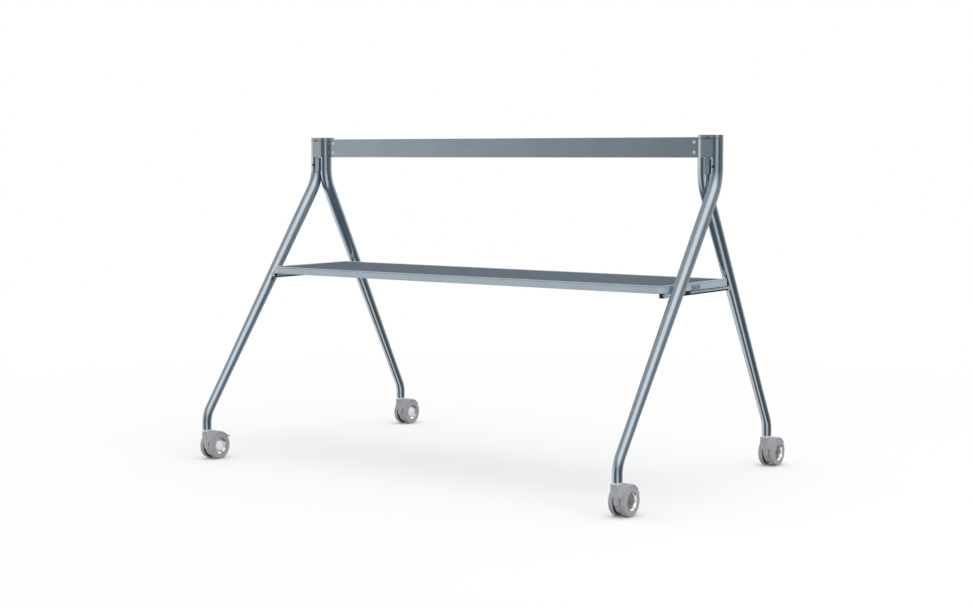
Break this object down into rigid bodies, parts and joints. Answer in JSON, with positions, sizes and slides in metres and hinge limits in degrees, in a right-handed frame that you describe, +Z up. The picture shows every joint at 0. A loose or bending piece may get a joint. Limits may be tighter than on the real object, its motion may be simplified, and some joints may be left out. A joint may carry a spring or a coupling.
{
  "type": "display floor stand",
  "caption": "Wheeled floor stand with splayed bent-tube end frames, a tall crossbar that a flat display hangs on, a shelf tray below it and twin-wheel casters.",
  "frame": {"origin": "middle of the footprint box on the floor", "axes": "+X to the right seen from the front, +Y to the back, +Z up"},
  "size_m": [1.5376, 0.9972, 0.994],
  "materials": {
    "tube_steel": "satin metallic",
    "painted_steel": "satin metallic",
    "tray_paint": "satin",
    "black_plastic": "matte",
    "polished_steel": "polished",
    "caster_plastic": "satin",
    "wheel_tread": "matte"
  },
  "bodies": {
    "frame": {"front_leg_left": "tube_steel", "rear_leg_left": "tube_steel", "post_cap_left": "painted_steel", "post_spine_left": "painted_steel", "cover_plate_left": "painted_steel", "lock_tongue_left": "painted_steel", "bar_bracket_left": "painted_steel", "shelf_rail_left": "painted_steel", "front_lug_left": "painted_steel", "rear_lug_left": "painted_steel", "front_leg_right": "tube_steel", "rear_leg_right": "tube_steel", "post_cap_right": "painted_steel", "post_spine_right": "painted_steel", "cover_plate_right": "painted_steel", "lock_tongue_right": "painted_steel", "bar_bracket_right": "painted_steel", "shelf_rail_right": "painted_steel", "front_lug_right": "painted_steel", "rear_lug_right": "painted_steel", "crossbar": "painted_steel", "shelf_tray": "tray_paint", "bar_bolt_left_lower": "polished_steel", "bar_bolt_left_upper": "polished_steel", "shelf_clip_left": "black_plastic", "shelf_knob_left": "black_plastic", "bar_bolt_right_lower": "polished_steel", "bar_bolt_right_upper": "polished_steel", "shelf_clip_right": "black_plastic", "shelf_knob_right": "black_plastic", "stem_front_left": "polished_steel", "stem_front_right": "polished_steel", "stem_rear_left": "polished_steel", "stem_rear_right": "polished_steel"},
    "caster_front_left": {"hood_front_left": "caster_plastic", "axle_front_left": "polished_steel"},
    "wheel_front_left_outer": {"wheel_front_left_outer": "wheel_tread", "hub_front_left_outer": "polished_steel"},
    "wheel_front_left_inner": {"wheel_front_left_inner": "wheel_tread", "hub_front_left_inner": "polished_steel"},
    "pedal_front_left": {"pedal_front_left": "caster_plastic"},
    "caster_front_right": {"hood_front_right": "caster_plastic", "axle_front_right": "polished_steel"},
    "wheel_front_right_outer": {"wheel_front_right_outer": "wheel_tread", "hub_front_right_outer": "polished_steel"},
    "wheel_front_right_inner": {"wheel_front_right_inner": "wheel_tread", "hub_front_right_inner": "polished_steel"},
    "pedal_front_right": {"pedal_front_right": "caster_plastic"},
    "caster_rear_left": {"hood_rear_left": "caster_plastic", "axle_rear_left": "polished_steel"},
    "wheel_rear_left_outer": {"wheel_rear_left_outer": "wheel_tread", "hub_rear_left_outer": "polished_steel"},
    "wheel_rear_left_inner": {"wheel_rear_left_inner": "wheel_tread", "hub_rear_left_inner": "polished_steel"},
    "caster_rear_right": {"hood_rear_right": "caster_plastic", "axle_rear_right": "polished_steel"},
    "wheel_rear_right_outer": {"wheel_rear_right_outer": "wheel_tread", "hub_rear_right_outer": "polished_steel"},
    "wheel_rear_right_inner": {"wheel_rear_right_inner": "wheel_tread", "hub_rear_right_inner": "polished_steel"}
  },
  "joints": [
    {"name": "swivel_front_left", "type": "hinge", "parent": "frame", "child": "caster_front_left", "pos_m": [-0.7438, -0.48457, 0.086], "axis": [0, 0, 1], "continuous": true},
    {"name": "roll_front_left_outer", "type": "hinge", "parent": "caster_front_left", "child": "wheel_front_left_outer", "pos_m": [-0.7438, -0.45057, 0.03975], "axis": [1, 0, 0], "continuous": true},
    {"name": "roll_front_left_inner", "type": "hinge", "parent": "caster_front_left", "child": "wheel_front_left_inner", "pos_m": [-0.7438, -0.45057, 0.03975], "axis": [1, 0, 0], "continuous": true},
    {"name": "brake_front_left", "type": "hinge", "parent": "caster_front_left", "child": "pedal_front_left", "pos_m": [-0.7438, -0.43057, 0.06], "axis": [1, 0, 0], "range_deg": [-20, 0]},
    {"name": "swivel_front_right", "type": "hinge", "parent": "frame", "child": "caster_front_right", "pos_m": [0.7438, -0.48457, 0.086], "axis": [0, 0, 1], "continuous": true},
    {"name": "roll_front_right_outer", "type": "hinge", "parent": "caster_front_right", "child": "wheel_front_right_outer", "pos_m": [0.7438, -0.45057, 0.03975], "axis": [1, 0, 0], "continuous": true},
    {"name": "roll_front_right_inner", "type": "hinge", "parent": "caster_front_right", "child": "wheel_front_right_inner", "pos_m": [0.7438, -0.45057, 0.03975], "axis": [1, 0, 0], "continuous": true},
    {"name": "brake_front_right", "type": "hinge", "parent": "caster_front_right", "child": "pedal_front_right", "pos_m": [0.7438, -0.43057, 0.06], "axis": [1, 0, 0], "range_deg": [0, 20]},
    {"name": "swivel_rear_left", "type": "hinge", "parent": "frame", "child": "caster_rear_left", "pos_m": [-0.7092, 0.42483, 0.086], "axis": [0, 0, 1], "continuous": true},
    {"name": "roll_rear_left_outer", "type": "hinge", "parent": "caster_rear_left", "child": "wheel_rear_left_outer", "pos_m": [-0.7092, 0.45883, 0.03975], "axis": [1, 0, 0], "continuous": true},
    {"name": "roll_rear_left_inner", "type": "hinge", "parent": "caster_rear_left", "child": "wheel_rear_left_inner", "pos_m": [-0.7092, 0.45883, 0.03975], "axis": [1, 0, 0], "continuous": true},
    {"name": "swivel_rear_right", "type": "hinge", "parent": "frame", "child": "caster_rear_right", "pos_m": [0.7092, 0.42483, 0.086], "axis": [0, 0, 1], "continuous": true},
    {"name": "roll_rear_right_outer", "type": "hinge", "parent": "caster_rear_right", "child": "wheel_rear_right_outer", "pos_m": [0.7092, 0.45883, 0.03975], "axis": [1, 0, 0], "continuous": true},
    {"name": "roll_rear_right_inner", "type": "hinge", "parent": "caster_rear_right", "child": "wheel_rear_right_inner", "pos_m": [0.7092, 0.45883, 0.03975], "axis": [1, 0, 0], "continuous": true}
  ]
}
